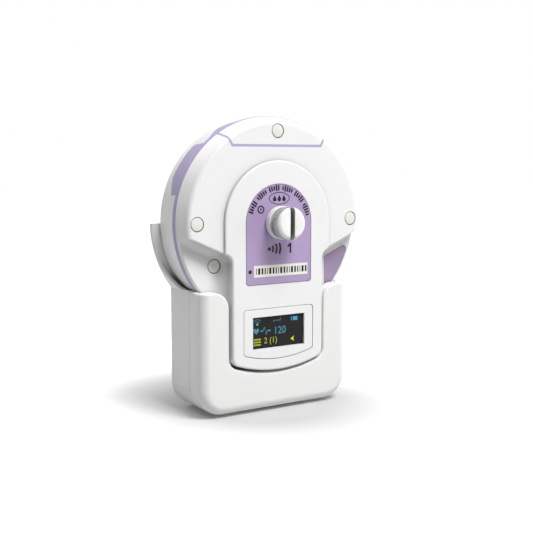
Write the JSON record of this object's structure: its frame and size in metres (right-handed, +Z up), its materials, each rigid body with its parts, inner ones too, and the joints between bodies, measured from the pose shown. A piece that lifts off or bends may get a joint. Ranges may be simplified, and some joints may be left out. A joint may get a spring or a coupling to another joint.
{
  "type": "wireless fetal heart monitor in a charging dock",
  "caption": "Round ultrasound transducer with a display stem and a slotted belt button, standing in a white charging dock with a curved backrest.",
  "frame": {"origin": "centre of the foot pad's underside, on the table", "axes": "+Z up; the front with the display and the belt button faces -Y; +X is to the right as seen from the front"},
  "size_m": [0.0846, 0.0361, 0.1147],
  "materials": {
    "dock_plastic": "satin moulded ABS, white",
    "shell_plastic": "satin moulded ABS, white",
    "button_plastic": "satin turned and moulded acetal, white",
    "plug_plastic": "fine sparked silicone, warm white",
    "lilac_elastomer": "soft matte overmoulded elastomer, lilac",
    "label_film": "matte printed polyester film, lilac",
    "badge_film": "satin printed film, mauve",
    "strip_paper": "matte synthetic paper, off white",
    "display_window": "gloss tinted window over the lit display",
    "display_panel": "glass display panel, black",
    "circuit_board": "green solder mask",
    "ribbon_film": "amber polyimide film",
    "battery_foil": "matte laminated foil",
    "carrier_resin": "cast resin, cream",
    "piezo_ceramic": "silvered ceramic, tan",
    "dark_plastic": "matte moulded plastic, black",
    "gold_plate": "polished gold plating on brass",
    "brass": "turned brass",
    "steel": "zinc-plated and stainless steel",
    "foot_rubber": "matte silicone rubber, grey",
    "seal_rubber": "matte nitrile rubber, dark grey"
  },
  "bodies": {
    "dock": {"dock_front_shell": "dock_plastic", "dock_rear_shell": "dock_plastic", "foot_pad": "foot_rubber", "ballast_plate": "steel", "dock_screws": "steel", "dock_board": "circuit_board", "power_socket": "steel", "contact_block": "dark_plastic", "contact_spring_left": "steel", "contact_spring_right": "steel"},
    "left_pin": {"contact_pin_left": "gold_plate"},
    "right_pin": {"contact_pin_right": "gold_plate"},
    "transducer": {"front_shell": "shell_plastic", "rear_shell": "shell_plastic", "top_cap": "shell_plastic", "cap_trim": "lilac_elastomer", "rim_band": "lilac_elastomer", "label_plate": "label_film", "blank_strip": "strip_paper", "side_badge": "badge_film", "display_frame": "shell_plastic", "display_window": "display_window", "display_panel": "display_panel", "display_board": "circuit_board", "board_ribbon": "ribbon_film", "main_board": "circuit_board", "battery": "battery_foil", "crystal_carrier": "carrier_resin", "crystals": "piezo_ceramic", "shell_screws": "steel", "screw_plugs": "plug_plastic", "charge_pads": "gold_plate", "stud_insert": "brass"},
    "seal_ring": {"button_seal": "seal_rubber"},
    "button": {"belt_button": "button_plastic"}
  },
  "joints": [
    {"name": "transducer_lift", "type": "slide", "parent": "dock", "child": "transducer", "axis": [0, 0, 1], "range_m": [0, 0.036]},
    {"name": "left_pin_press", "type": "slide", "parent": "dock", "child": "left_pin", "axis": [0, 0, 1], "range_m": [-0.0008, 0], "stiffness_N_per_m": 60, "springref_m": 0.003, "deforming": ["contact_spring_left"]},
    {"name": "right_pin_press", "type": "slide", "parent": "dock", "child": "right_pin", "axis": [0, 0, 1], "range_m": [-0.0008, 0], "stiffness_N_per_m": 60, "springref_m": 0.003, "deforming": ["contact_spring_right"]},
    {"name": "button_travel", "type": "slide", "parent": "transducer", "child": "seal_ring", "axis": [0, -1, 0], "range_m": [0, 0.0028]},
    {"name": "button_turn", "type": "hinge", "parent": "seal_ring", "child": "button", "pos_m": [0, -0.018, 0.07405], "axis": [0, -1, 0], "range_deg": [0, 1440]}
  ],
  "couplings": [
    {"joint": "button_turn", "follows": "button_travel", "rad_per_m": 8976}
  ]
}
